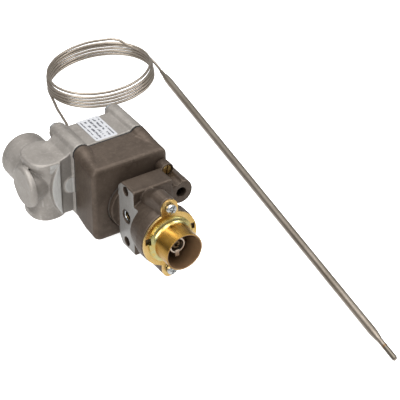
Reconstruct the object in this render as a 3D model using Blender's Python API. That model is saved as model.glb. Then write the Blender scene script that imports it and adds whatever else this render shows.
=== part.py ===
"""Bulb-and-capillary gas thermostat valve, as an assembly of separate pieces.

The world is in metres, +Z up, with the origin under the middle of the valve body, on the surface it lies on.
The dial axis runs along Y, and the dial end faces -Y. Each piece of the valve is modelled in millimetres in
the dial frame, whose origin is the middle of the collar's front rim, and hangs on the empty dial_frame. The
capillary, its coil and the sensing bulb lie on the surface and are placed in world millimetres.
"""

import math

import bmesh
import bpy
from mathutils import Vector

MM = 0.001

# The dial frame's origin in the world: the body's box is centred on X and Y and stands on Z = 0.
DIAL_X = 10.55
DIAL_Y = -61.0
DIAL_Z = 25.9

# Dial collar and its ear plate
COLLAR_RADIUS = 11.4
COLLAR_WALL = 0.8
COLLAR_FRONT = -0.8
PLATE_FRONT = 14.0
PLATE_BACK = 15.3
PLATE_RADIUS = 17.2
EAR_OFFSET = 20.7
EAR_RADIUS = 5.2

# Front body casting
BODY_FRONT = 15.6
BODY_BACK = 55.9
BARREL_RADIUS = 17.6
FLANGE_X = -10.0
FLANGE_RIGHT = 16.0
FLANGE_FRONT = 36.5
FLANGE_LOW = -22.3
FLANGE_HIGH = 20.9
PORT_Y = 45.1
FLANGE_SCREW_OFFSET = 17.3
LUG = (21.9, 9.3)
LUG_RADIUS = 7.7
LUG_HOLE = 3.1
LUG_FRONT = 37.4
BYPASS = (20.0, 18.4)
BYPASS_FRONT = 49.0

# Main and rear housings
BLOCK_FRONT = 56.2
JOINT_FRONT = 79.3
JOINT_BACK = 80.3
REAR_BACK = 106.0
BLOCK_LOW = -18.0
BLOCK_HIGH = 30.0
BLOCK_HALF = 23.5
LOBE_RADIUS = 5.6
LOBE_X = 18.4
LOBE_HIGH = 26.6
LOBE_LOW = -10.5
LOBE_BACK = 109.5
CAVITY_LOW = -12.4
CAVITY_HIGH = 26.0
CAVITY_HALF = 15.0
CAVITY_FRONT = 66.4
CAVITY_BACK = 98.5
SCREW_HOLE = 2.3

# Outlet elbow, cast with the rear housing
ELBOW_X = -34.4
ELBOW_Y = 94.3
ELBOW_Z = 8.1
ELBOW_LOW = -12.0
FOOT_LOW = -16.2
ELBOW_HIGH = 24.6
BARREL_BACK = 122.8
OUTLET_RADIUS = 14.6
BOSS_FACE = -51.1
BOSS_RADIUS = 12.8
BOSS_Y = 92.0
BOSS_Z = 8.0
COIN_X = -24.0
COIN_Z = 6.4
ELBOW_FACE = 80.3
NECK_X = -31.7
NECK_ARC = 29.0

# Moving pieces
STEM_RADIUS = 4.9
STEM_BORE = 4.0
TONGUE_REACH = 7.3
STEM_FRONT = 6.6

# Capillary and bulb, in world millimetres
TUBE_RADIUS = 0.8
COIL_CENTRE = (83.0, 159.25)
COIL_INNER = 31.4
COIL_OUTER = 36.6
COIL_HEIGHT = 11.6
BULB_TIP = (70.6, -174.25)
BULB_NECK = (121.0, 143.75)
BULB_RADIUS = 2.38
LEAD_SPACING = 4.0
VALVE_LEAD = [
    (10.55, 49.35, 25.9),
    (10.6, 57.75, 25.6),
    (11.4, 66.75, 22.8),
    (13.8, 75.75, 17.2),
    (17.6, 84.75, 10.8),
    (22.4, 94.25, 5.6),
    (27.4, 103.75, 2.5),
    (32.1, 112.25, 1.2),
    (36.4, 120.75, 0.9),
    (38.7, 130.85, 0.9),
    (41.1, 142.35, 0.9),
    (43.3, 152.15, 0.9),
]
BULB_LEAD = [
    (120.4, 164.35, 6.3),
    (122.1, 155.25, 4.0),
    (121.8, 148.15, 2.7),
    (121.1, 144.15, 2.45),
]

CAST_BROWN = ("cast_brown", (0.125, 0.105, 0.088), 0.85, 0.55)
CAST_SILVER = ("cast_silver", (0.42, 0.40, 0.37), 0.9, 0.45)
GOLD_PLATE = ("gold_plate", (0.80, 0.55, 0.16), 1.0, 0.25)
ZINC_STEEL = ("zinc_steel", (0.68, 0.68, 0.66), 1.0, 0.3)
DARK_STEEL = ("dark_steel", (0.28, 0.26, 0.24), 1.0, 0.4)
BRASS = ("brass", (0.62, 0.43, 0.16), 1.0, 0.35)
STAINLESS = ("stainless", (0.50, 0.45, 0.38), 1.0, 0.35)
RUBBER = ("rubber", (0.03, 0.03, 0.03), 0.0, 0.7)


def clear_scene():
    for item in list(bpy.data.objects):
        bpy.data.objects.remove(item)


def material(look):
    """The Principled material of a look: its name, colour, metallic value and roughness."""
    name, colour, metallic, roughness = look
    if name in bpy.data.materials:
        return bpy.data.materials[name]
    made = bpy.data.materials.new(name)
    made.use_nodes = True
    shader = made.node_tree.nodes["Principled BSDF"]
    shader.inputs["Base Color"].default_value = (*colour, 1.0)
    shader.inputs["Metallic"].default_value = metallic
    shader.inputs["Roughness"].default_value = roughness
    made.diffuse_color = (*colour, 1.0)
    return made


def mesh_of(name, points, faces):
    """A closed mesh from points in millimetres, its faces turned outwards and its round sides smooth."""
    mesh = bpy.data.meshes.new(name)
    mesh.from_pydata([Vector(point) * MM for point in points], [], faces)
    shape = bmesh.new()
    shape.from_mesh(mesh)
    bmesh.ops.recalc_face_normals(shape, faces=shape.faces)
    shape.to_mesh(mesh)
    shape.free()
    mesh.shade_smooth()
    mesh.set_sharp_from_angle(angle=math.radians(32))
    return mesh


def place(name, mesh, look, at=(0, 0, 0), turn=(0, 0, 0), parent=None):
    """A named object; at is in millimetres and turn in degrees."""
    item = bpy.data.objects.new(name, mesh)
    bpy.context.collection.objects.link(item)
    item.location = Vector(at) * MM
    item.rotation_euler = [math.radians(angle) for angle in turn]
    item.parent = parent
    if look:
        mesh.materials.clear()
        mesh.materials.append(material(look))
    return item


def helper(name, mesh, at=(0, 0, 0), turn=(0, 0, 0), parent=None):
    """A cutter or an added shape, which no render shows."""
    item = place(name, mesh, None, at, turn, parent)
    item.hide_render = True
    item.display_type = "WIRE"
    return item


def combine(target, other, operation):
    modifier = target.modifiers.new(other.name, "BOOLEAN")
    modifier.operation = operation
    modifier.solver = "EXACT"
    modifier.object = other


def cut(target, mesh, at=(0, 0, 0), turn=(0, 0, 0)):
    combine(target, helper(f"cut_{mesh.name}", mesh, at, turn, target.parent), "DIFFERENCE")


def add(target, mesh, at=(0, 0, 0), turn=(0, 0, 0)):
    combine(target, helper(f"add_{mesh.name}", mesh, at, turn, target.parent), "UNION")


def turned(name, profile, steps=32):
    """A solid turned round Y from (radius, y) points.

    A profile that stays off the axis at both ends makes a ring.
    """
    points = []
    rows = []
    for radius, y in profile:
        if radius == 0:
            rows.append([len(points)] * steps)
            points.append((0, y, 0))
            continue
        rows.append(list(range(len(points), len(points) + steps)))
        for step in range(steps):
            angle = 2 * math.pi * step / steps
            points.append((radius * math.cos(angle), y, radius * math.sin(angle)))
    if profile[0][0] > 0:
        rows.append(rows[0])
    faces = []
    for near, far in zip(rows, rows[1:]):
        for step in range(steps):
            after = (step + 1) % steps
            corners = [near[step], near[after], far[after], far[step]]
            faces.append(list(dict.fromkeys(corners)))
    return mesh_of(name, points, faces)


def rod(name, radius, low, high, steps=32, bevel=0.0):
    """A round bar along Y, with its two edges bevelled."""
    if not bevel:
        return turned(name, [(0, low), (radius, low), (radius, high), (0, high)], steps)
    profile = [
        (0, low),
        (radius - bevel, low),
        (radius, low + bevel),
        (radius, high - bevel),
        (radius - bevel, high),
        (0, high),
    ]
    return turned(name, profile, steps)


def tube(name, inner, outer, low, high, steps=32):
    return turned(name, [(inner, low), (outer, low), (outer, high), (inner, high)], steps)


def loft(name, sections):
    """A solid through outlines of equally many (x, z) points, each at its own y, closed at both ends."""
    points = []
    for y, outline in sections:
        points.extend((x, y, z) for x, z in outline)
    count = len(sections[0][1])
    faces = [list(range(count)), list(range(len(points) - count, len(points)))]
    for row in range(len(sections) - 1):
        for step in range(count):
            after = (step + 1) % count
            near = row * count
            far = near + count
            faces.append([near + step, near + after, far + after, far + step])
    return mesh_of(name, points, faces)


def prism(name, outline, low, high):
    return loft(name, [(low, outline), (high, outline)])


def box(name, low, high):
    outline = [(low[0], low[2]), (high[0], low[2]), (high[0], high[2]), (low[0], high[2])]
    return prism(name, outline, low[1], high[1])


def arc(centre, radius, start, end, steps):
    """Points on an arc in degrees, both ends included."""
    found = []
    for step in range(steps + 1):
        angle = math.radians(start + (end - start) * step / steps)
        found.append((centre[0] + radius * math.cos(angle), centre[1] + radius * math.sin(angle)))
    return found


def rounded(low, high, radius, steps=5):
    """A rectangle with round corners, from its low and its high (x, z) corner."""
    corners = [
        (high[0] - radius, low[1] + radius, -90),
        (high[0] - radius, high[1] - radius, 0),
        (low[0] + radius, high[1] - radius, 90),
        (low[0] + radius, low[1] + radius, 180),
    ]
    outline = []
    for x, z, start in corners:
        outline.extend(arc((x, z), radius, start, start + 90, steps))
    return outline


def slot(half_length, radius, steps=8):
    """A bar along Z with round ends whose centres are half_length from the middle."""
    return arc((0, half_length), radius, 0, 180, steps) + arc((0, -half_length), radius, 180, 360, steps)


def block_outline(half, low, high, radius, swell, steps=7):
    """The housings' outline, with plain lower corners and upper corners that swell into lobes.

    swell runs from 0, where an upper corner is plain, to 1, where it is the full lobe for a housing screw.
    """
    plain = (half - radius, high - radius)
    x = plain[0] + (LOBE_X - plain[0]) * swell
    z = plain[1] + (LOBE_HIGH - plain[1]) * swell
    side = -math.degrees(math.acos(min(1.0, (half - x) / radius)))
    top = 180 - math.degrees(math.asin(min(1.0, (high - z) / radius)))
    upper = arc((x, z), radius, side, top, steps)
    lower = arc((half - radius, low + radius), radius, -90, 0, steps)
    outline = upper + [(-px, pz) for px, pz in reversed(upper)]
    outline += [(-px, pz) for px, pz in reversed(lower)]
    return outline + lower


def joint_outline(swell=1.0, inset=0.0):
    """The outline where the two housings meet."""
    return block_outline(BLOCK_HALF - inset, BLOCK_LOW + inset, BLOCK_HIGH - inset, LOBE_RADIUS, swell)


def cavity_outline(margin=0.0):
    low = (-CAVITY_HALF - margin, CAVITY_LOW - margin)
    return rounded(low, (CAVITY_HALF + margin, CAVITY_HIGH + margin), 6.5)


def cross_recess(name, y, size, depth):
    """A plus-shaped cutter for a cross-head screw whose head starts at y."""
    thin = size * 0.2
    outline = []
    for quarter in range(4):
        angle = quarter * math.pi / 2
        for px, pz in ((size, -thin), (size, thin), (thin, thin)):
            turned_x = px * math.cos(angle) - pz * math.sin(angle)
            turned_z = px * math.sin(angle) + pz * math.cos(angle)
            outline.append((turned_x, turned_z))
    return prism(name, outline, y - 1.0, y + depth)


def smooth_route(route, spacing):
    """Points every spacing millimetres along a Catmull-Rom curve through the route's points."""
    ends = [Vector(route[0]) * 2 - Vector(route[1]), Vector(route[-1]) * 2 - Vector(route[-2])]
    knots = [ends[0]] + [Vector(point) for point in route] + [ends[1]]
    dense = []
    for index in range(1, len(knots) - 2):
        a, b, c, d = knots[index - 1 : index + 3]
        for step in range(20):
            t = step / 20
            bend = (2 * a - 5 * b + 4 * c - d) * t**2
            twist = (3 * b - a - 3 * c + d) * t**3
            dense.append((2 * b + (c - a) * t + bend + twist) / 2)
    dense.append(knots[-2])
    total = sum((q - p).length for p, q in zip(dense, dense[1:]))
    count = max(2, round(total / spacing))
    found = [dense[0]]
    run = 0.0
    for p, q in zip(dense, dense[1:]):
        run += (q - p).length
        if run >= total / count * len(found) and len(found) < count:
            found.append(q)
    found.append(dense[-1])
    return found


def wire(name, points, radius, look, resolution=2, parent=None):
    """A round wire with closed ends along points in millimetres."""
    curve = bpy.data.curves.new(name, "CURVE")
    curve.dimensions = "3D"
    curve.bevel_depth = radius * MM
    curve.bevel_resolution = resolution
    curve.use_fill_caps = True
    spline = curve.splines.new("POLY")
    spline.points.add(len(points) - 1)
    for point, spot in zip(spline.points, points):
        point.co = (*(Vector(spot) * MM), 1.0)
    curve.materials.append(material(look))
    item = bpy.data.objects.new(name, curve)
    bpy.context.collection.objects.link(item)
    item.parent = parent
    return item


def helix(radius, low, high, turns, steps):
    """Points of a compression spring round Y."""
    count = round(turns * steps)
    found = []
    for step in range(count + 1):
        angle = 2 * math.pi * step / steps
        y = low + (high - low) * step / count
        found.append((radius * math.cos(angle), y, radius * math.sin(angle)))
    return found


def dial_collar(frame):
    """Gold plated ear plate with the round collar that the dial's hub turns in."""
    plate = rod("plate", PLATE_RADIUS, PLATE_FRONT, PLATE_BACK, 48)
    item = place("dial_collar", plate, GOLD_PLATE, parent=frame)
    add(item, prism("ears", slot(EAR_OFFSET, EAR_RADIUS), PLATE_FRONT + 0.05, PLATE_BACK - 0.05))
    step = [
        (0, PLATE_FRONT + 0.4),
        (14.0, PLATE_FRONT + 0.4),
        (14.0, PLATE_FRONT - 0.9),
        (13.4, PLATE_FRONT - 1.4),
        (12.4, PLATE_FRONT - 1.7),
        (COLLAR_RADIUS + 0.3, PLATE_FRONT - 2.6),
        (COLLAR_RADIUS, PLATE_FRONT - 3.6),
        (COLLAR_RADIUS, COLLAR_FRONT),
        (0, COLLAR_FRONT),
    ]
    add(item, turned("step", step[::-1], 48))
    cut(item, rod("collar_bore", COLLAR_RADIUS - COLLAR_WALL, COLLAR_FRONT - 1, PLATE_BACK + 1, 40))
    for side, height in (("top", EAR_OFFSET), ("bottom", -EAR_OFFSET)):
        cut(item, rod(f"{side}_ear_hole", SCREW_HOLE, PLATE_FRONT - 1, PLATE_BACK + 1, 16), at=(0, 0, height))
    for name, x in (("left", -14.5), ("right", 14.5)):
        low = (x - 1.45, PLATE_FRONT - 3.0, 1.2)
        cut(item, box(f"{name}_notch", low, (x + 1.45, PLATE_BACK + 1, 5.2)))


def collar_screw(name, height, frame):
    """Cross-head screw that holds one ear of the collar plate to the front body."""
    profile = [
        (0, 10.9),
        (1.9, 11.0),
        (2.8, 11.5),
        (3.05, 12.2),
        (3.05, 13.7),
        (1.5, 13.7),
        (1.5, 21.0),
        (0.8, 22.0),
        (0, 22.0),
    ]
    item = place(name, turned(name, profile, 24), ZINC_STEEL, at=(0, 0, height), parent=frame)
    cut(item, cross_recess(f"{name}_recess", 10.9, 1.9, 1.3), at=(0, 0, height), turn=(0, 24, 0))


def front_body(frame):
    """Brown casting with the stem bearing, the machined inlet flange and the lug beside it."""
    barrel = [
        (0, BODY_FRONT),
        (BARREL_RADIUS - 0.5, BODY_FRONT),
        (BARREL_RADIUS, BODY_FRONT + 0.5),
        (BARREL_RADIUS, 22.0),
        (15.6, 31.5),
        (14.8, 40.0),
        (14.8, 51.0),
        (15.2, 53.6),
        (15.2, BODY_BACK),
        (0, BODY_BACK),
    ]
    item = place("front_body", turned("barrel", barrel, 40), CAST_BROWN, parent=frame)
    bosses = loft(
        "bosses",
        [
            (BODY_FRONT + 0.05, slot(EAR_OFFSET, 4.8)),
            (BODY_FRONT + 0.6, slot(EAR_OFFSET, 5.3)),
            (26.0, slot(EAR_OFFSET, 5.3)),
            (36.9, slot(EAR_OFFSET - 6.0, 5.3)),
        ],
    )
    add(item, bosses)
    cut(item, box("flange_face", (-30, 31.5, -30), (FLANGE_X, 52.6, 30)))
    block = loft(
        "flange_block",
        [
            (FLANGE_FRONT, rounded((FLANGE_X, FLANGE_LOW), (FLANGE_RIGHT - 0.8, FLANGE_HIGH - 0.8), 1.2, 2)),
            (FLANGE_FRONT + 0.8, rounded((FLANGE_X, FLANGE_LOW), (FLANGE_RIGHT, FLANGE_HIGH), 1.2, 2)),
            (50.2, rounded((FLANGE_X, FLANGE_LOW), (FLANGE_RIGHT, FLANGE_HIGH), 1.2, 2)),
            (53.6, rounded((FLANGE_X, FLANGE_LOW + 5.0), (FLANGE_RIGHT, FLANGE_HIGH - 3.4), 1.2, 2)),
        ],
    )
    add(item, block)
    lug_root = [(8.0, 2.4), (20.0, 2.4), (24.5, 9.0), (23.5, 16.2), (8.0, 13.5)]
    add(item, prism("lug_root", lug_root, 41.0, BODY_BACK - 0.2))
    add(item, rod("lug", LUG_RADIUS, LUG_FRONT, BODY_BACK - 0.1, 28, 0.8), at=(LUG[0], 0, LUG[1]))
    add(item, rod("bypass_boss", 4.3, BYPASS_FRONT, BODY_BACK - 0.15, 24), at=(BYPASS[0], 0, BYPASS[1]))
    cut(item, rod("stem_recess", 9.2, BODY_FRONT - 1, 24.0, 40))
    cut(item, rod("stem_bearing", STEM_RADIUS + 0.3, 23.5, 36.5, 28))
    cut(item, rod("spindle_chamber", 8.4, 36.0, BODY_BACK + 1, 32))
    cut(item, rod("inlet_port", 4.25, 0, 12, 28), at=(FLANGE_X + 10.5, PORT_Y, 0), turn=(0, 0, 90))
    for name, z in (("upper", FLANGE_SCREW_OFFSET), ("lower", -FLANGE_SCREW_OFFSET)):
        cut(
            item,
            rod(f"{name}_flange_hole", 2.8, 0, 12, 20),
            at=(FLANGE_X + 11.0, PORT_Y, z),
            turn=(0, 0, 90),
        )
    for name, z in (("top", EAR_OFFSET), ("bottom", -EAR_OFFSET)):
        cut(item, rod(f"{name}_screw_hole", 1.9, BODY_FRONT - 1, 23.0, 16), at=(0, 0, z))
    cut(item, rod("lug_hole", LUG_HOLE, LUG_FRONT - 1, 52.0, 20), at=(LUG[0], 0, LUG[1]))
    cut(item, rod("bypass_hole", 3.4, 30.0, 53.4, 20), at=(BYPASS[0], 0, BYPASS[1]))
    cut(item, rod("bypass_thread", 2.1, 50.0, BODY_BACK - 0.6, 16), at=(BYPASS[0], 0, BYPASS[1]))


def dial_stem(frame):
    """Hollow stem with the drive tongue at its mouth; its origin is on the dial axis."""
    profile = [
        (0, 0.0),
        (STEM_RADIUS - 0.2, 0.0),
        (STEM_RADIUS, 0.2),
        (STEM_RADIUS, 13.9),
        (7.4, 13.9),
        (7.4, 16.5),
        (STEM_RADIUS, 16.5),
        (STEM_RADIUS, 21.9),
        (3.3, 21.9),
        (3.3, 24.9),
        (STEM_RADIUS, 24.9),
        (STEM_RADIUS, 29.5),
        (2.9, 30.1),
        (2.9, 36.9),
        (0, 36.9),
    ]
    mouth = (0, STEM_FRONT, 0)
    item = place("dial_stem", turned("stem", profile, 32), ZINC_STEEL, at=mouth, parent=frame)
    cut(item, rod("stem_mouth", STEM_BORE, -1.0, 9.0, 28), at=mouth)
    add(item, box("tongue", (-1.25, 0.15, -TONGUE_REACH), (1.25, 4.5, -3.1)), at=mouth)


def calibration_screw(frame):
    """Slotted screw in the stem's mouth that sets the dial to the true temperature."""
    profile = [(0, 7.6), (2.2, 7.6), (2.5, 7.9), (2.5, 15.1), (0, 15.1)]
    item = place("calibration_screw", turned("calibration", profile, 24), BRASS, parent=frame)
    cut(item, rod("calibration_cup", 1.35, 6.6, 9.0, 20))
    cut(item, box("calibration_slot", (-3, 6.6, -0.4), (3, 8.5, 0.4)), turn=(0, 35, 0))


def stem_fittings(frame):
    """The spring, the retaining ring and the seal that sit round the stem inside the front body."""
    spring = helix(6.3, 18.1, 19.5, 2.0, 16)
    wire("stem_spring", spring, 0.3, DARK_STEEL, 1, frame)
    retainer = [(5.3, 16.2), (8.8, 16.2), (8.8, 17.4), (5.3, 17.4)]
    place("stem_retainer", turned("retainer", retainer, 32), DARK_STEEL, parent=frame)
    seal = [(3.65, 29.2), (4.3, 28.9), (4.85, 29.4), (4.85, 30.6), (4.3, 31.1), (3.65, 30.8)]
    place("stem_seal", turned("seal", seal, 24), RUBBER, parent=frame)


def set_point_spindle(frame):
    """Cup that rides on the stem's thread and carries the rod that holds the valve's set point."""
    profile = [
        (0, 38.0),
        (6.0, 38.0),
        (6.5, 38.5),
        (6.5, 50.0),
        (2.2, 50.0),
        (2.2, 60.6),
        (1.6, 61.2),
        (0, 61.2),
    ]
    item = place("set_point_spindle", turned("spindle", profile, 28), BRASS, parent=frame)
    cut(item, rod("spindle_thread", 3.3, 37.0, 45.5, 24))


def bypass_screw(frame):
    """Brass screw that sets the minimum flame, turned from the front; its origin is on its own axis."""
    profile = [(0, 0), (2.7, 0), (3.0, 0.3), (3.0, 3.4), (1.7, 3.4), (1.7, 4.8), (0.9, 5.4), (0, 5.4)]
    spot = (BYPASS[0], BYPASS_FRONT + 0.5, BYPASS[1])
    item = place("bypass_screw", turned("bypass", profile, 24), BRASS, at=spot, parent=frame)
    cut(item, box("bypass_slot", (-0.45, -1, -4), (0.45, 1.4, 4)), at=spot, turn=(0, 12, 0))


def front_gasket(frame):
    place("front_gasket", tube("front_gasket", 9.0, 15.2, 56.2, 56.7, 32), RUBBER, parent=frame)


def main_housing(frame):
    """Brown casting between the front body and the rear housing, open to the back."""
    sections = [
        (BLOCK_FRONT, block_outline(22.5, -18.0, 26.6, 3.6, 0)),
        (BLOCK_FRONT + 0.5, block_outline(23.7, -19.3, 27.9, 4.6, 0)),
        (BLOCK_FRONT + 1.8, block_outline(24.6, -20.1, 28.8, 5.0, 0)),
        (68.0, block_outline(24.4, -19.6, 29.3, 5.2, 0.3)),
        (74.5, block_outline(23.9, -18.8, 29.7, 5.5, 0.85)),
        (JOINT_FRONT, joint_outline()),
    ]
    item = place("main_housing", loft("main_shell", sections), CAST_BROWN, parent=frame)
    cut(item, rod("gasket_seat", 15.5, 50.0, 57.0, 32))
    cut(item, prism("main_cavity", cavity_outline(), CAVITY_FRONT, 90.0))
    cut(item, rod("seat_pocket", 9.9, 61.2, 67.0, 32))
    cut(item, rod("gas_way", 6.0, 50.0, 62.0, 28))
    for number, (x, z) in enumerate(screw_places(), 1):
        cut(item, rod(f"main_screw_hole_{number}", SCREW_HOLE, 66.0, 90.0, 16), at=(x, 0, z))


def screw_places():
    return [(x, z) for x in (-LOBE_X, LOBE_X) for z in (LOBE_HIGH, LOBE_LOW)]


def housing_gasket(frame):
    outline = joint_outline(1.0, 0.35)
    item = place("housing_gasket", prism("housing_gasket", outline, 79.55, 80.05), RUBBER, parent=frame)
    cut(item, prism("gasket_window", cavity_outline(0.3), 79.0, 81.0))
    for number, (x, z) in enumerate(screw_places(), 1):
        cut(item, rod(f"gasket_hole_{number}", SCREW_HOLE + 0.1, 79.0, 81.0, 16), at=(x, 0, z))


def rear_housing(frame):
    """Silver casting that closes the main housing and carries the outlet elbow on its left."""
    sections = [
        (JOINT_BACK, joint_outline()),
        (REAR_BACK - 1.2, joint_outline(1.0, 0.3)),
        (REAR_BACK, joint_outline(0.75, 1.4)),
    ]
    item = place("rear_housing", loft("rear_shell", sections), CAST_SILVER, parent=frame)
    for number, (x, z) in enumerate(screw_places(), 1):
        add(item, rod(f"lobe_{number}", LOBE_RADIUS - 0.1, 82.0, LOBE_BACK, 24, 1.4), at=(x, 0, z))
    add_elbow(item)
    cut(item, prism("rear_cavity", cavity_outline(), 70.0, CAVITY_BACK))
    for number, (x, z) in enumerate(screw_places(), 1):
        cut(item, rod(f"rear_screw_hole_{number}", SCREW_HOLE, 70.0, 120.0, 16), at=(x, 0, z))
    cut(item, rod("capillary_hole", 3.4, 90.0, REAR_BACK + 4, 20))
    cut(item, rod("outlet_bore", 9.1, 0, 40, 32), at=(ELBOW_X, ELBOW_Y - 2.0, ELBOW_Z))
    cut(item, rod("cross_passage", 8.4, 0, 34, 28), at=(-8.0, ELBOW_Y, ELBOW_Z), turn=(0, 0, 90))


def add_elbow(item):
    """The pad, the flat-topped column, the machined neck, the blind boss and the threaded outlet barrel."""
    pad = [
        (-31.7, ELBOW_LOW),
        (-20.0, ELBOW_LOW),
        (-20.0, 29.4),
        (-24.0, 28.4),
        (-27.0, 26.0),
        (-31.7, ELBOW_HIGH),
    ]
    add(item, prism("pad", pad, ELBOW_FACE + 1.3, 103.2))
    lip_edge = rounded((-46.4, ELBOW_FACE + 1.3), (-24.0, 107.4), 9.8, 7)
    lip = rounded((-47.2, ELBOW_FACE + 0.5), (-24.0, 108.2), 10.5, 7)
    waist = rounded((-44.6, ELBOW_FACE + 2.4), (-24.0, 106.2), 9.5, 7)
    shoulder = rounded((-46.4, ELBOW_FACE + 1.2), (-24.0, 107.5), 10.3, 7)
    foot = rounded((-46.8, ELBOW_FACE + 2.2), (-24.0, 107.4), 10.3, 7)
    foot_edge = rounded((-44.0, ELBOW_FACE + 4.8), (-26.0, 104.6), 8.0, 7)
    levels = [
        (-ELBOW_HIGH, lip_edge),
        (-ELBOW_HIGH + 0.8, lip),
        (-ELBOW_HIGH + 2.8, lip),
        (-ELBOW_HIGH + 4.6, shoulder),
        (-ELBOW_HIGH + 9.0, waist),
        (-FOOT_LOW - 9.5, waist),
        (-FOOT_LOW - 5.5, foot),
        (-FOOT_LOW - 2.0, foot),
        (-FOOT_LOW, foot_edge),
    ]
    add(item, loft("column", levels), turn=(-90, 0, 0))
    middle = (ELBOW_LOW + ELBOW_HIGH) / 2
    half_height = (ELBOW_HIGH - ELBOW_LOW) / 2 - 0.4
    reach = math.degrees(math.asin(half_height / NECK_ARC))
    centre = (NECK_X + NECK_ARC * math.cos(math.radians(reach)), middle)
    neck = arc(centre, NECK_ARC, 180 - reach, 180 + reach, 12)
    add(item, prism("neck", neck, ELBOW_FACE, 92.0))
    boss = [
        (0, 38.0),
        (8.6, 38.0),
        (BOSS_RADIUS - 1.6, -BOSS_FACE - 4.6),
        (BOSS_RADIUS - 1.6, -BOSS_FACE - 4.0),
        (BOSS_RADIUS, -BOSS_FACE - 3.8),
        (BOSS_RADIUS, -BOSS_FACE - 2.0),
        (BOSS_RADIUS - 0.5, -BOSS_FACE - 0.9),
        (BOSS_RADIUS - 1.6, -BOSS_FACE),
        (0, -BOSS_FACE),
    ]
    add(item, turned("blind_boss", boss, 36), at=(0, BOSS_Y, BOSS_Z), turn=(0, 0, 90))
    add(item, rod("coin_boss", 5.6, ELBOW_FACE + 0.5, 92.0, 28, 0.5), at=(COIN_X, 0, COIN_Z))
    barrel = [
        (0, 92.0),
        (OUTLET_RADIUS, 92.0),
        (OUTLET_RADIUS, BARREL_BACK - 1.4),
        (OUTLET_RADIUS - 1.0, BARREL_BACK),
        (0, BARREL_BACK),
    ]
    add(item, turned("outlet_barrel", barrel, 36), at=(ELBOW_X, 0, ELBOW_Z))


def housing_screws(frame):
    """Four long screws that clamp the two housings, with their heads at the back of the lobes."""
    profile = [
        (0, 68.0),
        (1.4, 68.0),
        (1.9, 69.0),
        (1.9, LOBE_BACK + 0.3),
        (3.6, LOBE_BACK + 0.3),
        (3.6, LOBE_BACK + 1.9),
        (2.6, LOBE_BACK + 2.9),
        (0, LOBE_BACK + 3.1),
    ]
    mesh = turned("housing_screw", profile, 20)
    for number, (x, z) in enumerate(screw_places(), 1):
        place(f"housing_screw_{number}", mesh, ZINC_STEEL, at=(x, 0, z), parent=frame)


def valve_seat(frame):
    profile = [(5.4, 61.6), (9.5, 61.6), (9.5, 65.2), (7.2, 65.2), (6.6, 66.1), (5.9, 66.1), (5.4, 65.6)]
    place("valve_seat", turned("valve_seat", profile, 32), BRASS, parent=frame)


def valve_train(frame):
    """Disc, spring, push rod and the button of the power element, all on the dial axis."""
    disc = [(0, 67.9), (7.9, 67.9), (8.2, 68.2), (8.2, 69.7), (3.0, 69.7), (2.6, 72.0), (0, 72.0)]
    place("valve_disc", turned("valve_disc", disc, 32), DARK_STEEL, parent=frame)
    wire("valve_spring", helix(4.3, 62.8, 67.1, 2.5, 16), 0.4, STAINLESS, 1, frame)
    place("push_rod", rod("push_rod", 1.5, 72.3, 83.9, 20, 0.3), ZINC_STEEL, parent=frame)
    button = [(0, 84.2), (2.6, 84.2), (3.4, 84.9), (3.4, 86.6), (0, 86.6)]
    place("element_button", turned("element_button", button, 24), BRASS, parent=frame)


def power_element(frame):
    """Sealed liquid-filled capsule that swells when the bulb warms, and its neck through the rear wall."""
    profile = [
        (0, 88.2),
        (5.0, 88.2),
        (8.4, 88.8),
        (11.0, 88.2),
        (11.8, 89.0),
        (11.8, 90.6),
        (11.0, 91.4),
        (8.0, 92.0),
        (3.0, 92.6),
        (3.0, REAR_BACK + 0.4),
        (0, REAR_BACK + 0.4),
    ]
    place("power_element", turned("power_element", profile, 32), STAINLESS, parent=frame)
    clamp = [(3.4, 93.4), (9.5, 93.4), (11.0, 94.4), (11.0, 98.1), (3.4, 98.1)]
    place("element_clamp", turned("element_clamp", clamp, 32), DARK_STEEL, parent=frame)


def capillary_gland(frame):
    """Hexagon nut on the rear wall that the capillary leaves through."""
    hexagon = arc((0, 0), 6.2, 0, 300, 5)
    item = place("capillary_gland", prism("gland", hexagon, REAR_BACK + 0.35, REAR_BACK + 3.0), BRASS, parent=frame)
    add(item, rod("gland_nose", 3.0, REAR_BACK + 2.0, REAR_BACK + 4.0, 24))
    cut(item, rod("gland_pocket", 3.3, REAR_BACK - 0.5, REAR_BACK + 0.8, 20))


def sensing_bulb():
    """Long thin bulb that lies on the surface, narrowed at both ends; its origin is at its tip."""
    tip = Vector((*BULB_TIP, 0))
    run = Vector((*BULB_NECK, 0)) - tip
    length = run.length
    narrow = 1.55
    profile = [
        (0, 0.0),
        (0.7, 0.05),
        (1.25, 0.5),
        (narrow, 1.4),
        (narrow, 17.0),
        (1.75, 18.5),
        (2.2, 22.5),
        (BULB_RADIUS, 25.5),
        (BULB_RADIUS, length - 15.0),
        (2.2, length - 11.0),
        (1.75, length - 6.5),
        (1.4, length - 5.0),
        (1.3, length - 0.3),
        (0.8, length),
        (0, length),
    ]
    heading = math.degrees(math.atan2(-run.x, run.y))
    spot = (*BULB_TIP, BULB_RADIUS + 0.05)
    place("sensing_bulb", turned("sensing_bulb", profile, 24), STAINLESS, at=spot, turn=(0, 0, heading))


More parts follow.
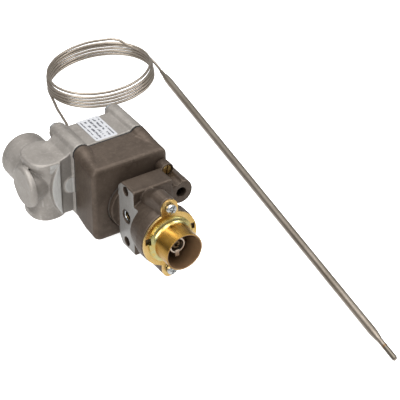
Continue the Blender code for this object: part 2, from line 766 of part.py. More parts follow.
def capillary():
    """The capillary's two plain leads, and one ring for the turns between them."""
    wire("valve_lead", smooth_route(VALVE_LEAD, LEAD_SPACING), TUBE_RADIUS, STAINLESS)
    wire("bulb_lead", smooth_route(BULB_LEAD, LEAD_SPACING), TUBE_RADIUS, STAINLESS)
    edge = 0.6
    profile = [
        (COIL_INNER + edge, 0.02),
        (COIL_OUTER - edge, 0.02),
        (COIL_OUTER, edge),
        (COIL_OUTER, COIL_HEIGHT - edge),
        (COIL_OUTER - edge, COIL_HEIGHT),
        (COIL_INNER + edge, COIL_HEIGHT),
        (COIL_INNER, COIL_HEIGHT - edge),
        (COIL_INNER, edge),
    ]
    place("capillary_coil", turned("coil", profile, 56), STAINLESS, at=(*COIL_CENTRE, 0), turn=(90, 0, 0))


def main():
    clear_scene()
    frame = bpy.data.objects.new("dial_frame", None)
    bpy.context.collection.objects.link(frame)
    frame.location = Vector((DIAL_X, DIAL_Y, DIAL_Z)) * MM
    dial_collar(frame)
    collar_screw("collar_screw_top", EAR_OFFSET, frame)
    collar_screw("collar_screw_bottom", -EAR_OFFSET, frame)
    front_body(frame)
    dial_stem(frame)
    calibration_screw(frame)
    stem_fittings(frame)
    set_point_spindle(frame)
    bypass_screw(frame)
    front_gasket(frame)
    main_housing(frame)
    valve_seat(frame)
    valve_train(frame)
    power_element(frame)
    capillary_gland(frame)
    housing_gasket(frame)
    rear_housing(frame)
    housing_screws(frame)
    sensing_bulb()
    capillary()


main()
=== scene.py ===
"""Looks for the gas thermostat valve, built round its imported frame.

Places are in millimetres in the frame's own axes, and MM turns them into metres. The dial looks
along -Y, the valve lies on Z = 0, and the capillary runs from the gland at the back, round its
coil, to the bulb.
"""

import math

import bpy
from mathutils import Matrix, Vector

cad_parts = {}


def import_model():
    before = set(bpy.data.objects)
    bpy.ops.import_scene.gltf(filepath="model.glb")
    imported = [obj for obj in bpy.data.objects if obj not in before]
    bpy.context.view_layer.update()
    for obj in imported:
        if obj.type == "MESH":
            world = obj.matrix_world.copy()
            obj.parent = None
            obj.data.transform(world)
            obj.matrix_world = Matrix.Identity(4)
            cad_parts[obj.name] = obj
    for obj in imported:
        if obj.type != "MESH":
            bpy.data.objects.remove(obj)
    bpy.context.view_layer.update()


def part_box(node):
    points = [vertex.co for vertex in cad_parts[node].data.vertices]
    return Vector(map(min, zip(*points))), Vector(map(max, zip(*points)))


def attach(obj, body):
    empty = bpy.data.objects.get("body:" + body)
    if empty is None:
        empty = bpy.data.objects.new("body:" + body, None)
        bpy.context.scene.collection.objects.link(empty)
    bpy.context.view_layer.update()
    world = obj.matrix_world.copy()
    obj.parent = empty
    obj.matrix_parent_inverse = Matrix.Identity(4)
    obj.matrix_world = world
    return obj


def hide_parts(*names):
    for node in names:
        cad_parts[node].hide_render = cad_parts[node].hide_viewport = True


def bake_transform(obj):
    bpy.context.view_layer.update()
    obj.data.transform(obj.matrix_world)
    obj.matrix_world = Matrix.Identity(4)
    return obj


MM = 0.001
BODY = "valve_body"

# Camera: its place, its tilt up from straight down and its heading in degrees, and its lens
CAMERA_PLACE = (-371.74, -676.46, 570.38)
CAMERA_PITCH = 54.854
CAMERA_HEADING = -32.549
CAMERA_LENS = 148.82
CAMERA_SENSOR = 36.0

# Capillary: its route from the gland to the coil, and its route from the coil to the bulb
CAPILLARY_RADIUS = 0.88
VALVE_LEAD = [
    (10.55, 49.35, 25.9),
    (10.6, 57.75, 25.6),
    (11.4, 66.75, 22.8),
    (13.8, 75.75, 17.2),
    (17.6, 84.75, 10.8),
    (22.4, 94.25, 5.6),
    (27.4, 103.75, 2.5),
    (32.1, 112.25, 1.2),
    (36.4, 120.75, 0.92),
    (38.6, 130.85, 0.92),
    (40.8, 142.35, 0.92),
    (42.8, 149.65, 0.92),
]
BULB_LEAD = [
    (113.25, 177.35, 9.9),
    (116.85, 171.75, 8.4),
    (120.4, 164.35, 6.3),
    (121.95, 155.25, 4.0),
    (121.8, 148.15, 2.7),
    (121.1, 144.15, 2.45),
]

# Coil: where it starts, how far it turns and the spacing of its points, all in degrees
COIL_CENTRE = (82.4, 158.3)
COIL_START = 172
COIL_SWEEP = 1933
COIL_SPACING = 22.5

# Coil's radius, and how it changes: by how much, after how many degrees, and over how many
COIL_RADIUS = 34.9
COIL_CHANGES = ((-0.5, 0, 240), (-0.9, 1380, 220), (1.5, 1850, 83))

# Coil's height: its lowest turn, its rise, and the degrees before and over which it rises
COIL_LOW = 0.92
COIL_RISE = 9.85
COIL_LEVEL = 60
COIL_CLIMB = 1800

# Coil's lie: how far its top leans along Y, and how far and along which line it's pushed askew
COIL_LEAN = 2.8
COIL_SKEW = 0.19
COIL_ALONG = (0.843, -0.538)

# Inlet flange: X of its milled face, and how far from it the milling starts and stops fading
FLANGE_FACE = 0.55
FLANGE_FADE = (0.4, 0.8)

# Rear housing: Y of the pad by its elbow, and X where the pad, its bright part and the neck end
PAD_FACE = 20.6
PAD_FADE = (0.4, 0.9)
PAD_EDGE = -12.8
BRIGHT_EDGE = -21.2
BRIGHT_FADE = 0.1
NECK_EDGE = -27.6
EDGE_FADE = 0.5
PAD_STAINING = 0.6

# Rear housing: the bright coin on the pad, half the housing's width, and Z of its flat top
COIN_CENTRE = (-13.45, 32.3)
COIN_RADIUS = 5.4
HOUSING_HALF = 23.9
FLAT_TOP = 55.9

# Dial collar: its axis, its bore and the pale step at its foot
DIAL_AXIS = (10.55, 25.9)
BORE_RADIUS = 11.0
STEP_RADIUS = 14.2
STEP_FRONT = -49.6

# Sensing bulb: the length of its stained end, its fade, and the brown line inside its edge
BULB_STAIN = 12.0
BULB_FADE = 0.5
BULB_LINE = (1.6, 1.2)

# Inlet seat: its centre, its outer and inner radius, its depth, its chamfer and its steps
SEAT_CENTRE = (1.55, -15.9, 25.9)
SEAT_OUTER = 4.15
SEAT_INNER = 3.0
SEAT_DEPTH = 1.4
SEAT_CHAMFER = 0.35
SEAT_STEPS = 40

# Outlet: its axis along Y, its bore, and how far in from its end the thread starts
OUTLET_AXIS = (-23.85, 34.0)
OUTLET_BORE = 9.1
THREAD_BACK = 1.2

# Outlet thread: its pitch, its turns, and the steps in a turn and in the run-out at each end
THREAD_PITCH = 1.81
THREAD_TURNS = 8
THREAD_STEPS = 36
THREAD_RUNOUT = 12

# Outlet thread: its depth, how deep its root is buried, and half its width at root and crest
THREAD_DEPTH = 0.75
THREAD_BURIED = 0.05
THREAD_ROOT = 0.8
THREAD_CREST = 0.12

# Spring in front of the valve disc: its wire's radius, its turns, and its mesh's steps and sides
SPRING_WIRE = 0.4
SPRING_TURNS = 2.5
SPRING_STEPS = 32
SPRING_SIDES = 10

# Label: a plain sticker on the flat top of the rear housing, and its gaps to what lies around it
LABEL_WIDTH = 14.3
LABEL_SHIFT = -0.6
LABEL_FRONT = 0.9
LABEL_BACK = 1.2
LABEL_LIFT = 0.02
LABEL_THICK = 0.06
LABEL_CORNER = 1.2
LABEL_STEPS = 6

# Print on the label, in shares of its width and length: its rows, their gaps and its margins
PRINT_ROWS = 5.0
PRINT_GAP = (0.24, 0.29)
PRINT_LEFT = (0.08, 0.1)
PRINT_RIGHT = (0.92, 0.9)
PRINT_NEAR = (0.07, 0.09)
PRINT_FAR = (0.93, 0.91)
PRINT_STRENGTH = 0.9

# Textures: the size of their features, their detail and roughness, and a stretch along X, Y and Z
CAST_BLOTCH = (14.0, 4.0, 0.6)
CAST_GRAIN = (0.5, 5.0, 0.7)
CAST_SCUFFS = (2.4, 6.0, 0.75)
FLANGE_MARKS = (0.35, 3.0, 0.6, (1.0, 0.35, 14.0))
PAD_MARKS = (0.35, 3.0, 0.6, (0.35, 1.0, 14.0))
GOLD_CLOUD = (7.0, 3.0, 0.55)
GOLD_TINT = (4.0, 2.0, 0.5)
GOLD_STREAKS = (0.5, 3.0, 0.6, (1.0, 9.0, 1.0))
TOOL_MARKS = (0.25, 4.0, 0.6, (6.0, 0.5, 6.0))
METAL_CLOUD = (3.0, 4.0, 0.6)
TUBE_STAIN = (22.0, 4.0, 0.6)
TUBE_GRAIN = (1.1, 5.0, 0.7)
RUBBER_DUST = (1.0, 4.0, 0.6)
GASKET_WEAVE = (0.4, 4.0, 0.7)
PAPER_FIBRE = (0.3, 3.0, 0.6)
PRINT_DASHES = (1.5, 2.0, 0.5, (2.0, 1.0, 60.0))
FLOOR_SPECK = (60.0, 2.0, 0.5)

# Values of a texture between which one tone gives way to the next
SOFT = (0.35, 0.65)
WIDE = (0.3, 0.7)
BLOTCH_EDGE = (0.36, 0.64)
SCUFF_EDGE = (0.5, 0.74)
CLOUD_EDGE = (0.34, 0.66)
STEP_EDGE = (0.4, 0.6)
DUST_EDGE = (0.5, 0.75)
DASH_EDGE = (0.44, 0.48)

# The same, followed by the shares that the tones have at those values
PATCHY_WEAR = (0.36, 0.6, 0.1, 0.7)
FLUSH_SHARE = (0.44, 0.28, 0.0, 0.4)
FLECK_SHARE = (0.5, 0.8, 0.0, 0.5)

# Values of a normal's X or Y at which a face counts in full and not at all
FLANGE_FACING = (-0.95, -0.80, 1.0, 0.0)
PAD_FACING = (-0.97, -0.85, 1.0, 0.0)
CAP_FACING = (-0.92, -0.75, 1.0, 0.0)

# Bends of the surface at which an edge counts as worn, and a hollow corner gets painted shade
WORN_BEND = (0.53, 0.62)
SHADED_BEND = (0.485, 0.40)
# Painted shade in hollow corners: the share of the darkest blotch tone that it keeps
CORNER_SHADE = 0.4

# Roughness: how far it strays from its mean on castings and turned metal, and the others' range
ROUGHNESS_SPREAD = (-0.06, 0.08)
GOLD_ROUGHNESS = (0.2, 0.34)
TUBE_ROUGHNESS = (0.32, 0.44)

# Depth of each surface's relief, and the rounding of its edges
BROWN_RELIEF = 0.03
SILVER_RELIEF = 0.04
GOLD_RELIEF = 0.006
TURNED_RELIEF = 0.008
TUBE_RELIEF = 0.01
RUBBER_RELIEF = 0.02
FIBRE_RELIEF = 0.03
PAPER_RELIEF = 0.004
GOLD_ROUNDING = 0.18
TURNED_ROUNDING = 0.12

# Castings: the darkest blotch, the main tone, the scuffs and the worn edges
BROWN = ((0.054, 0.038, 0.027), (0.078, 0.057, 0.042), (0.101, 0.077, 0.058), (0.19, 0.155, 0.120))
SILVER = ((0.215, 0.197, 0.178), (0.265, 0.245, 0.223), (0.312, 0.292, 0.268), (0.39, 0.37, 0.345))
SCUFF_RELIEF = 1.6

# Milled faces: their darker and lighter tone, their shine, and how much smoother they are
MILLED = ((0.28, 0.275, 0.262), (0.40, 0.395, 0.38))
MILLED_DULL = ((0.15, 0.145, 0.137), (0.225, 0.218, 0.208))
MILLED_SHINE = 0.35
MILLED_SMOOTHER = 0.1
PAD_STAIN = (0.17, 0.157, 0.142)

# Yellow chromate, as a darker and a lighter tone: barrel, plate, step and bore, and a flush
GOLD_BARREL = ((0.36, 0.19, 0.033), (0.47, 0.28, 0.065))
GOLD_PLATE = ((0.55, 0.35, 0.105), (0.69, 0.49, 0.20))
GOLD_STEP = ((0.56, 0.42, 0.14), (0.50, 0.47, 0.22))
GOLD_BORE = ((0.15, 0.082, 0.038), (0.26, 0.158, 0.082))
GOLD_FLUSH = (0.62, 0.31, 0.14)
BORE_ROUGHER = 0.25
BORE_SHINE = 0.5

# Stainless tube: its darker and lighter tone, its flecks, and the bulb's stain, line and cap
TUBE = ((0.235, 0.199, 0.161), (0.31, 0.268, 0.223))
TUBE_FLECK = (0.42, 0.375, 0.325)
BULB_DARK = (0.155, 0.135, 0.108)
BULB_BROWN = (0.20, 0.12, 0.06)
BULB_CAP = (0.42, 0.36, 0.31)

# Soft parts, label and floor: a darker and a lighter tone
RUBBER = ((0.02, 0.02, 0.02), (0.055, 0.052, 0.05))
FIBRE = ((0.06, 0.05, 0.042), (0.11, 0.092, 0.078))
PAPER = ((0.37, 0.375, 0.39), (0.41, 0.415, 0.43))
INK = (0.04, 0.04, 0.05)
FLOOR = ((0.90, 0.90, 0.90), (0.92, 0.92, 0.92))

# Turned metals: the darker tone, the lighter tone, the roughness, and the CAD nodes that show it
TURNED = {
    "zinc_plate": (
        (0.42, 0.44, 0.45),
        (0.62, 0.63, 0.62),
        0.24,
        (
            "collar_screw_top",
            "collar_screw_bottom",
            "housing_screw_1",
            "housing_screw_2",
            "housing_screw_3",
            "housing_screw_4",
        ),
    ),
    "stem_steel": (
        (0.72, 0.60, 0.48),
        (0.90, 0.80, 0.68),
        0.38,
        ("dial_stem", "push_rod"),
    ),
    "old_brass": (
        (0.36, 0.23, 0.075),
        (0.55, 0.39, 0.16),
        0.34,
        ("bypass_screw", "capillary_gland", "valve_seat", "set_point_spindle", "element_button"),
    ),
    "stained_brass": (
        (0.13, 0.09, 0.05),
        (0.24, 0.17, 0.10),
        0.42,
        ("calibration_screw",),
    ),
    "dark_steel": (
        (0.16, 0.15, 0.14),
        (0.27, 0.26, 0.25),
        0.4,
        ("stem_spring", "stem_retainer", "valve_disc", "element_clamp"),
    ),
}
SEAL_NODES = ("stem_seal", "housing_gasket")

# Angle in degrees past which an edge stays sharp, and how near points are joined into one
SHARP_ANGLE = 32
WELD = 0.001

# Sky's grey from straight down (0) over the horizon (0.5) to straight up (1)
SKY = ((0.0, 1.45), (0.36, 1.2), (0.49, 0.16), (0.62, 0.45), (0.88, 1.0))
SKY_STRENGTH = 0.85

# Lights, in metres and watts: name, place, what it points at, size and power
LIGHTS = (
    ("top_softbox", (-0.1, 0.1, 1.3), (0, 0, 0), (1.3, 1.3), 19),
    ("left_softbox", (-1.1, -0.7, 0.7), (0, 0, 0.02), (0.7, 0.9), 12.5),
    ("right_softbox", (1.1, -0.5, 0.8), (0, 0, 0.02), (0.5, 0.9), 10),
)

# Table: half its width and how far it lies under the valve, in metres, and how much it glows
FLOOR_HALF = 4.0
FLOOR_DROP = 0.0002
FLOOR_GLOW = 0.85


# ---------------------------------------------------------------- node materials


class Shader:
    """A node material with a Principled BSDF, and short ways to add the nodes that it needs."""

    def __init__(self, name):
        self.material = bpy.data.materials.new(name)
        self.material.use_nodes = True
        self.tree = self.material.node_tree
        self.surface = self.tree.nodes["Principled BSDF"]
        coordinates = self.node("ShaderNodeTexCoord")
        self.place = coordinates.outputs["Object"]
        self.normal = coordinates.outputs["Normal"]

    def node(self, kind, **settings):
        made = self.tree.nodes.new(kind)
        for key, value in settings.items():
            setattr(made, key, value)
        return made

    def join(self, source, target):
        """Links a socket to target, or sets target to a number or a colour."""
        if hasattr(source, "links"):
            self.tree.links.new(source, target)
        elif isinstance(source, (tuple, list)):
            target.default_value = (*source, 1.0)
        else:
            target.default_value = source

    def noise(self, size, detail, roughness, stretch=None):
        """Noise whose features are about size millimetres, before they are stretched."""
        found = self.node("ShaderNodeTexNoise")
        found.inputs["Scale"].default_value = 1.0 / (size * MM)
        found.inputs["Detail"].default_value = detail
        found.inputs["Roughness"].default_value = roughness
        place = self.place
        if stretch:
            mapping = self.node("ShaderNodeMapping")
            mapping.inputs["Scale"].default_value = [1.0 / part for part in stretch]
            self.join(place, mapping.inputs["Vector"])
            place = mapping.outputs["Vector"]
        self.join(place, found.inputs["Vector"])
        return found.outputs["Fac"]

    def band(self, value, low, high, start=0.0, end=1.0):
        """value taken from the range low..high to start..end, and held there outside it."""
        ranged = self.node("ShaderNodeMapRange", clamp=True)
        self.join(value, ranged.inputs["Value"])
        limits = {"From Min": low, "From Max": high, "To Min": start, "To Max": end}
        for socket, number in limits.items():
            ranged.inputs[socket].default_value = number
        return ranged.outputs["Result"]

    def below(self, value, full, gone):
        """1 where value is under full millimetres, fading to 0 at gone."""
        return self.band(value, full * MM, gone * MM, 1.0, 0.0)

    def above(self, value, gone, full):
        """1 where value is over full millimetres, fading to 0 at gone."""
        return self.band(value, gone * MM, full * MM)

    def maths(self, operation, first, second=0.0):
        made = self.node("ShaderNodeMath", operation=operation)
        self.join(first, made.inputs[0])
        self.join(second, made.inputs[1])
        return made.outputs["Value"]

    def times(self, first, *others):
        for other in others:
            first = self.maths("MULTIPLY", first, other)
        return first

    def blend(self, share, first, second):
        """Two colours mixed by share."""
        made = self.node("ShaderNodeMix", data_type="RGBA")
        self.join(share, made.inputs["Factor"])
        self.join(first, made.inputs[6])
        self.join(second, made.inputs[7])
        return made.outputs[2]

    def axis(self, vector, name):
        parts = self.node("ShaderNodeSeparateXYZ")
        self.join(vector, parts.inputs["Vector"])
        return parts.outputs[name]

    def disc(self, centre, radius, soft=0.2):
        """1 within radius millimetres of the line through centre along Y, and 0 outside it."""
        across = self.maths("SUBTRACT", self.axis(self.place, "X"), centre[0] * MM)
        up = self.maths("SUBTRACT", self.axis(self.place, "Z"), centre[1] * MM)
        across = self.maths("POWER", across, 2.0)
        up = self.maths("POWER", up, 2.0)
        reach = self.maths("SQRT", self.maths("ADD", across, up))
        return self.below(reach, radius - soft, radius + soft)

    def uneven(self, texture, roughness):
        """A roughness that strays from its mean with a texture."""
        low, high = ROUGHNESS_SPREAD
        return self.band(texture, *WIDE, roughness + low, roughness + high)

    def bends(self, flat, bent):
        """1 where the surface bends as much as bent, and 0 where it bends less than flat."""
        geometry = self.node("ShaderNodeNewGeometry")
        return self.band(geometry.outputs["Pointiness"], flat, bent)

    def rounding(self, edge):
        """The normal with its sharp edges rounded to edge millimetres."""
        bevel = self.node("ShaderNodeBevel", samples=6)
        bevel.inputs["Radius"].default_value = edge * MM
        return bevel.outputs["Normal"]

    def finish(self, colour, metallic, roughness, height=None, depth=0.0, edge=0.0):
        """Joins the surface: height is a bump of depth millimetres, and edge rounds its edges."""
        self.join(colour, self.surface.inputs["Base Color"])
        self.join(metallic, self.surface.inputs["Metallic"])
        self.join(roughness, self.surface.inputs["Roughness"])
        normal = self.rounding(edge) if edge else None
        if height is not None:
            relief = self.node("ShaderNodeBump")
            relief.inputs["Strength"].default_value = 1.0
            relief.inputs["Distance"].default_value = depth * MM
            self.join(height, relief.inputs["Height"])
            if normal is not None:
                self.join(normal, relief.inputs["Normal"])
            normal = relief.outputs["Normal"]
        if normal is not None:
            self.join(normal, self.surface.inputs["Normal"])
        return self.material

    def finish_as_set(self, depth):
        """Joins the colour, metallic, roughness and relief that the shader already holds."""
        return self.finish(self.colour, self.metallic, self.roughness, self.relief, depth)


def casting(name, tones, metallic, roughness):
    """A die casting: blotches, fine grain, edges worn to a lighter tone, and painted shade in its
    hollow corners.
    """
    dark, base, light, worn = tones
    shader = Shader(name)
    shader.metallic = metallic
    blotch = shader.noise(*CAST_BLOTCH)
    grain = shader.noise(*CAST_GRAIN)
    scuffs = shader.noise(*CAST_SCUFFS)
    colour = shader.blend(shader.band(blotch, *BLOTCH_EDGE), dark, base)
    colour = shader.blend(shader.band(scuffs, *SCUFF_EDGE), colour, light)
    wear = shader.times(shader.bends(*WORN_BEND), shader.band(scuffs, *PATCHY_WEAR))
    colour = shader.blend(wear, colour, worn)
    # Painted shade: hollow corners are darkened towards a dimmed copy of the darkest tone
    corner_shade = [part * CORNER_SHADE for part in dark]
    shader.colour = shader.blend(shader.bends(*SHADED_BEND), colour, corner_shade)
    shader.roughness = shader.uneven(grain, roughness)
    shader.relief = shader.maths("ADD", grain, shader.times(scuffs, SCUFF_RELIEF))
    return shader


def milled(shader, faces, marks, tones):
    """Mills a casting bright where faces is 1."""
    tone = shader.blend(shader.band(shader.noise(*marks), *SOFT), *tones)
    shader.colour = shader.blend(faces, shader.colour, tone)
    shader.metallic = shader.band(faces, 0.0, 1.0, shader.metallic, MILLED_SHINE)
    smoother = shader.times(faces, MILLED_SMOOTHER)
    shader.roughness = shader.maths("SUBTRACT", shader.roughness, smoother)


def brown_casting():
    shader = casting("brown_casting", BROWN, metallic=0.55, roughness=0.5)
    return shader.finish_as_set(BROWN_RELIEF)


def front_casting():
    """The brown casting with its inlet flange milled bright on the side that faces -X."""
    shader = casting("front_casting", BROWN, metallic=0.6, roughness=0.42)
    start, end = FLANGE_FADE
    facing = shader.band(shader.axis(shader.normal, "X"), *FLANGE_FACING)
    across = shader.axis(shader.place, "X")
    near = shader.below(across, FLANGE_FACE + start, FLANGE_FACE + end)
    beyond = shader.above(across, FLANGE_FACE - end, FLANGE_FACE - start)
    milled(shader, shader.times(facing, near, beyond), FLANGE_MARKS, MILLED_DULL)
    return shader.finish_as_set(BROWN_RELIEF)


def rear_casting():
    """The silver casting by its elbow, on the side that faces -Y: the pad stained darker, and the
    neck and the coin on the pad milled bright.
    """
    shader = casting("rear_casting", SILVER, metallic=0.6, roughness=0.5)
    start, end = PAD_FADE
    facing = shader.band(shader.axis(shader.normal, "Y"), *PAD_FACING)
    across = shader.axis(shader.place, "X")
    inside = shader.below(across, PAD_EDGE - EDGE_FADE, PAD_EDGE)
    outside = shader.above(across, NECK_EDGE, NECK_EDGE + EDGE_FADE)
    front = shader.below(shader.axis(shader.place, "Y"), PAD_FACE + start, PAD_FACE + end)
    faces = shader.times(facing, inside, outside, front)
    neck = shader.below(across, BRIGHT_EDGE - BRIGHT_FADE, BRIGHT_EDGE + BRIGHT_FADE)
    bright = shader.maths("MAXIMUM", neck, shader.disc(COIN_CENTRE, COIN_RADIUS))
    pad = shader.times(faces, shader.maths("SUBTRACT", 1.0, bright))
    stain = shader.times(pad, PAD_STAINING)
    shader.colour = shader.blend(stain, shader.colour, PAD_STAIN)
    milled(shader, shader.times(faces, bright), PAD_MARKS, MILLED)
    return shader.finish_as_set(SILVER_RELIEF)


def gold_chromate():
    """Yellow chromate over zinc: an orange barrel, a pale green step and a brown bore."""
    shader = Shader("gold_chromate")
    cloud = shader.noise(*GOLD_CLOUD)
    tint = shader.noise(*GOLD_TINT)
    streaks = shader.noise(*GOLD_STREAKS)
    clouded = shader.band(cloud, *SOFT)
    barrel = shader.blend(clouded, *GOLD_BARREL)
    plate = shader.blend(clouded, *GOLD_PLATE)
    plate = shader.blend(shader.band(tint, *FLUSH_SHARE), plate, GOLD_FLUSH)
    step = shader.blend(shader.band(tint, *STEP_EDGE), *GOLD_STEP)
    plate = shader.blend(shader.disc(DIAL_AXIS, STEP_RADIUS), plate, step)
    behind = shader.above(shader.axis(shader.place, "Y"), STEP_FRONT - EDGE_FADE, STEP_FRONT)
    colour = shader.blend(behind, barrel, plate)
    bore = shader.disc(DIAL_AXIS, BORE_RADIUS, soft=0.1)
    colour = shader.blend(bore, colour, shader.blend(cloud, *GOLD_BORE))
    rough = shader.band(streaks, *WIDE, *GOLD_ROUGHNESS)
    rough = shader.maths("ADD", rough, shader.times(bore, BORE_ROUGHER))
    shine = shader.band(bore, 0.0, 1.0, 1.0, BORE_SHINE)
    return shader.finish(colour, shine, rough, streaks, GOLD_RELIEF, GOLD_ROUNDING)


def turned_metal(name, dark, light, roughness):
    """Turned or drawn metal with fine tool marks across its length."""
    shader = Shader(name)
    marks = shader.noise(*TOOL_MARKS)
    cloud = shader.noise(*METAL_CLOUD)
    colour = shader.blend(shader.band(cloud, *CLOUD_EDGE), dark, light)
    rough = shader.uneven(cloud, roughness)
    return shader.finish(colour, 1.0, rough, marks, TURNED_RELIEF, TURNED_ROUNDING)


def stainless(name):
    """Warm grey stainless tube, annealed and lightly stained."""
    shader = Shader(name)
    stain = shader.noise(*TUBE_STAIN)
    grain = shader.noise(*TUBE_GRAIN)
    colour = shader.blend(shader.band(stain, *SOFT), *TUBE)
    shader.colour = shader.blend(shader.band(grain, *FLECK_SHARE), colour, TUBE_FLECK)
    shader.metallic = 0.95
    shader.roughness = shader.band(grain, *WIDE, *TUBE_ROUGHNESS)
    shader.relief = grain
    return shader


def drawn_tube():
    return stainless("drawn_tube").finish_as_set(TUBE_RELIEF)


def bulb_tube():
    """The tube's metal, darkened over the pinched end of the sensing bulb."""
    shader = stainless("bulb_tube")
    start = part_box("sensing_bulb")[0].y / MM + BULB_STAIN
    along = shader.axis(shader.place, "Y")
    stained = shader.below(along, start - BULB_FADE, start)
    colour = shader.blend(stained, shader.colour, BULB_DARK)
    line = shader.above(along, start - BULB_LINE[0], start - BULB_LINE[1])
    colour = shader.blend(shader.times(stained, line), colour, BULB_BROWN)
    cap = shader.band(shader.axis(shader.normal, "Y"), *CAP_FACING)
    shader.colour = shader.blend(cap, colour, BULB_CAP)
    return shader.finish_as_set(TUBE_RELIEF)


def rubber():
    shader = Shader("black_rubber")
    dust = shader.noise(*RUBBER_DUST)
    colour = shader.blend(shader.band(dust, *DUST_EDGE), *RUBBER)
    return shader.finish(colour, metallic=0.0, roughness=0.7, height=dust, depth=RUBBER_RELIEF)


def fibre():
    shader = Shader("gasket_fibre")
    weave = shader.noise(*GASKET_WEAVE)
    colour = shader.blend(shader.band(weave, *SOFT), *FIBRE)
    return shader.finish(colour, metallic=0.0, roughness=0.8, height=weave, depth=FIBRE_RELIEF)


def label_paper(low, high):
    """White paper with rows of short grey bars that stand for small print."""
    shader = Shader("label_paper")
    across = shader.band(shader.axis(shader.place, "X"), low.x, high.x)
    along = shader.band(shader.axis(shader.place, "Y"), low.y, high.y)
    rows = shader.maths("PINGPONG", shader.times(across, PRINT_ROWS), 0.5)
    in_row = shader.band(rows, *PRINT_GAP)
    dashes = shader.band(shader.noise(*PRINT_DASHES), *DASH_EDGE)
    sides = shader.times(shader.band(across, *PRINT_LEFT), shader.band(across, *PRINT_RIGHT))
    ends = shader.times(shader.band(along, *PRINT_NEAR), shader.band(along, *PRINT_FAR))
    ink = shader.times(in_row, dashes, sides, ends)
    grain = shader.noise(*PAPER_FIBRE)
    paper = shader.blend(grain, *PAPER)
    colour = shader.blend(shader.times(ink, PRINT_STRENGTH), paper, INK)
    return shader.finish(colour, metallic=0.0, roughness=0.45, height=grain, depth=PAPER_RELIEF)


def floor_paint():
    shader = Shader("floor_paint")
    colour = shader.blend(shader.noise(*FLOOR_SPECK), *FLOOR)
    shader.surface.inputs["Emission Color"].default_value = (1.0, 1.0, 1.0, 1.0)
    shader.surface.inputs["Emission Strength"].default_value = FLOOR_GLOW
    return shader.finish(colour, metallic=0.0, roughness=0.9)


# ---------------------------------------------------------------- shapes


def dress(name, material, sharp_angle=SHARP_ANGLE):
    """Gives a CAD node its material and shades its round surfaces smooth."""
    item = bpy.data.objects[name]
    item.data.materials.clear()
    item.data.materials.append(material)
    for layer in ("custom_normal", "sharp_face", "sharp_edge"):
        if layer in item.data.attributes:
            item.data.attributes.remove(item.data.attributes[layer])
    for face in item.data.polygons:
        face.use_smooth = True
        face.material_index = 0
    weld = item.modifiers.new("weld", "WELD")
    weld.merge_threshold = WELD * MM
    if sharp_angle:
        split = item.modifiers.new("sharp_edges", "EDGE_SPLIT")
        split.split_angle = math.radians(sharp_angle)
    return item


def soften(name, material, grain, rounds):
    """Gives a casting its rounded edges and filled corners: a fine even mesh, then relaxed."""
    item = dress(name, material, sharp_angle=0)
    remesh = item.modifiers.new("even_mesh", "REMESH")
    remesh.mode = "VOXEL"
    remesh.voxel_size = grain * MM
    remesh.use_smooth_shade = True
    relax = item.modifiers.new("cast_rounding", "SMOOTH")
    relax.factor = 0.5
    relax.iterations = rounds


def add_object(name, data):
    item = bpy.data.objects.new(name, data)
    bpy.context.scene.collection.objects.link(item)
    return item


def skin(name, rings, material, closed=False):
    """A smooth skin through rings of points in millimetres, filled at both ends unless closed."""
    sides = len(rings[0])
    faces = []
    for step in range(len(rings) if closed else len(rings) - 1):
        here = sides * step
        after = sides * ((step + 1) % len(rings))
        for side in range(sides):
            other = (side + 1) % sides
            faces.append([here + side, here + other, after + other, after + side])
    if not closed:
        last = sides * len(rings)
        faces.append(list(range(sides - 1, -1, -1)))
        faces.append(list(range(last - sides, last)))
    mesh = bpy.data.meshes.new(name)
    mesh.from_pydata([Vector(point) * MM for ring in rings for point in ring], [], faces)
    mesh.shade_smooth()
    mesh.materials.append(material)
    return add_object(name, mesh)


def piece(name, rings, material, closed=False):
    """A new piece of the visual model, sharp at its edges and riding on the valve's body."""
    item = skin(name, rings, material, closed)
    item.data.set_sharp_from_angle(angle=math.radians(SHARP_ANGLE))
    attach(item, BODY)


def held(value):
    return min(max(value, 0.0), 1.0)


def ease(value):
    """0 below 0, 1 above 1, and smooth between."""
    share = held(value)
    return share * share * (3 - 2 * share)


def coil_points():
    """The coil's turns, clockwise from above, each point pushed askew and leant along Y."""
    found = []
    count = round(COIL_SWEEP / COIL_SPACING)
    for step in range(count + 1):
        turned = COIL_SWEEP * step / count
        angle = math.radians(COIL_START - turned)
        radius = COIL_RADIUS
        for change, start, span in COIL_CHANGES:
            radius += change * ease((turned - start) / span)
        share = held((turned - COIL_LEVEL) / COIL_CLIMB)
        x = radius * math.cos(angle)
        y = radius * math.sin(angle)
        skew = COIL_SKEW * (x * COIL_ALONG[0] + y * COIL_ALONG[1])
        x += COIL_CENTRE[0] - skew * COIL_ALONG[1]
        y += COIL_CENTRE[1] + skew * COIL_ALONG[0] + COIL_LEAN * (share - 0.5)
        found.append((x, y, COIL_LOW + COIL_RISE * share))
    return found


def tube_curve(name, route, radius, material):
    """A smooth round tube along a route in millimetres."""
    curve = bpy.data.curves.new(name, "CURVE")
    curve.dimensions = "3D"
    curve.bevel_depth = radius * MM
    curve.bevel_resolution = 4
    curve.resolution_u = 6
    curve.use_fill_caps = True
    spline = curve.splines.new("BEZIER")
    spline.bezier_points.add(len(route) - 1)
    for point, spot in zip(spline.bezier_points, route):
        point.co = Vector(spot) * MM
        point.handle_left_type = "AUTO"
        point.handle_right_type = "AUTO"
    curve.materials.append(material)
    return add_object(name, curve)


def capillary(material):
    """The whole capillary as one tube riding on the valve's body, from the gland round the coil, its
    far end at the bulb.
    """
    route = VALVE_LEAD + coil_points() + BULB_LEAD
    item = tube_curve("capillary", route, CAPILLARY_RADIUS, material)
    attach(item, BODY)
    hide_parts("valve_lead", "capillary_coil", "bulb_lead")


